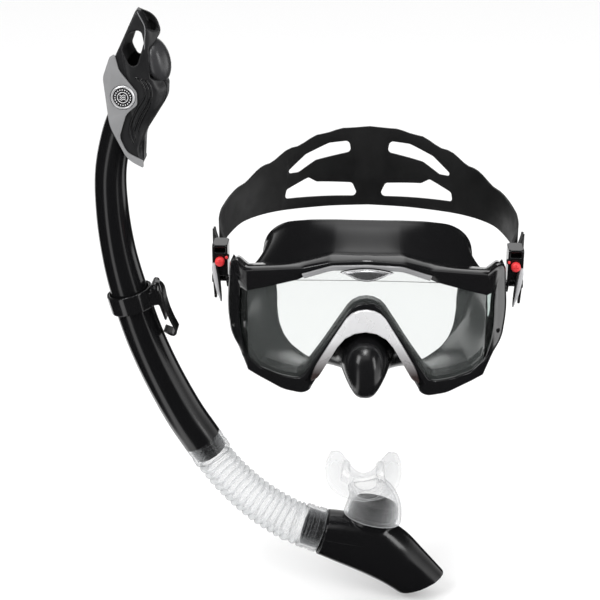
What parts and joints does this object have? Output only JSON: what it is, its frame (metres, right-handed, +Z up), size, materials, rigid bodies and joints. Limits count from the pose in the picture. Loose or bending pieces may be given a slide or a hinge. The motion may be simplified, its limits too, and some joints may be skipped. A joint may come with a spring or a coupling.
{
  "type": "snorkel mask",
  "caption": "Low-volume diving mask with curved side windows and wide head strap, beside its dry-top snorkel with corrugated hose, purge chamber and strap keeper.",
  "frame": {"origin": "centre of the mask's face seal, midway between the temples", "axes": "+Z up as worn, -Y the way the wearer looks, +X to the wearer's left; the snorkel stands on the -X side"},
  "size_m": [0.2809, 0.1882, 0.4202],
  "materials": {
    "frame_plastic": "gloss",
    "black_silicone": "satin",
    "tempered_glass": "polished",
    "bright_trim": "metallised",
    "grey_trim": "satin",
    "red_button": "satin",
    "steel": "plain",
    "housing_plastic": "matt",
    "clear_silicone": "clear",
    "clear_plastic": "clear",
    "float_foam": "plain"
  },
  "bodies": {
    "mask": {"front_frame": "frame_plastic", "clamp_ring": "frame_plastic", "front_lens": "tempered_glass", "side_lens_right": "tempered_glass", "side_lens_left": "tempered_glass", "nose_trim": "bright_trim", "brow_trim": "grey_trim", "brow_badge": "bright_trim", "skirt": "black_silicone", "pivot_pin_right": "frame_plastic", "pivot_pin_left": "frame_plastic"},
    "head_strap": {"strap": "black_silicone", "buckle_body_right": "frame_plastic", "buckle_body_left": "frame_plastic", "strap_roller_right": "steel", "strap_roller_left": "steel", "button_spring_right": "steel", "button_spring_left": "steel"},
    "button_right": {"release_button_right": "red_button"},
    "button_left": {"release_button_left": "red_button"},
    "snorkel": {"snorkel_tube": "frame_plastic", "upper_coupler": "clear_plastic", "flex_hose": "clear_silicone", "dry_top_housing": "housing_plastic", "side_trim_front": "grey_trim", "side_trim_back": "grey_trim", "emblem_front": "bright_trim", "emblem_back": "bright_trim", "float_cover": "housing_plastic", "valve_seat": "frame_plastic", "lever_pin": "steel"},
    "float_arm": {"float_lever": "frame_plastic", "seal_pad": "black_silicone", "float": "float_foam"},
    "mouth_end": {"lower_coupler": "clear_plastic", "lower_chamber": "frame_plastic", "purge_seat": "frame_plastic", "mouthpiece": "clear_silicone"},
    "flap": {"purge_flap": "black_silicone"},
    "keeper": {"keeper_ring": "frame_plastic", "keeper_pin": "steel"},
    "clip": {"keeper_clip": "frame_plastic"}
  },
  "joints": [
    {"name": "strap_swing", "type": "hinge", "parent": "mask", "child": "head_strap", "pos_m": [0, -0.013, 0.011], "axis": [1, 0, 0], "range_deg": [-30, 45]},
    {"name": "release_button_right_press", "type": "slide", "parent": "head_strap", "child": "button_right", "axis": [0, 1, 0], "range_m": [0, 0.0008], "stiffness_N_per_m": 600, "springref_m": -0.001, "deforming": ["button_spring_right"]},
    {"name": "release_button_left_press", "type": "slide", "parent": "head_strap", "child": "button_left", "axis": [0, 1, 0], "range_m": [0, 0.0008], "stiffness_N_per_m": 600, "springref_m": -0.001, "deforming": ["button_spring_left"]},
    {"name": "snorkel_carry", "type": "slide", "parent": "mask", "child": "snorkel", "axis": [-1, 0, 0], "range_m": [0, 0.15]},
    {"name": "float_valve", "type": "hinge", "parent": "snorkel", "child": "float_arm", "pos_m": [-0.143, 0, 0.132], "axis": [0, -1, 0], "range_deg": [0, 16]},
    {"name": "hose_flex", "type": "hinge", "parent": "snorkel", "child": "mouth_end", "pos_m": [-0.0725, 0, -0.165], "axis": [0, 1, 0], "range_deg": [-15, 20], "stiffness_Nm_per_rad": 0.6, "springref_deg": -2.86, "deforming": ["flex_hose"]},
    {"name": "purge_flap_open", "type": "hinge", "parent": "mouth_end", "child": "flap", "pos_m": [0.051, 0, -0.217], "axis": [0, -1, 0], "range_deg": [0, 20], "stiffness_Nm_per_rad": 0.002, "springref_deg": -5.73},
    {"name": "keeper_slide", "type": "slide", "parent": "snorkel", "child": "keeper", "axis": [-0.2424, 0, 0.9702], "range_m": [-0.006, 0.01]},
    {"name": "keeper_clip_open", "type": "hinge", "parent": "keeper", "child": "clip", "pos_m": [-0.1409, 0, 0.0003], "axis": [0, -1, 0], "range_deg": [0, 35], "stiffness_Nm_per_rad": 0.02, "springref_deg": -2.86}
  ]
}
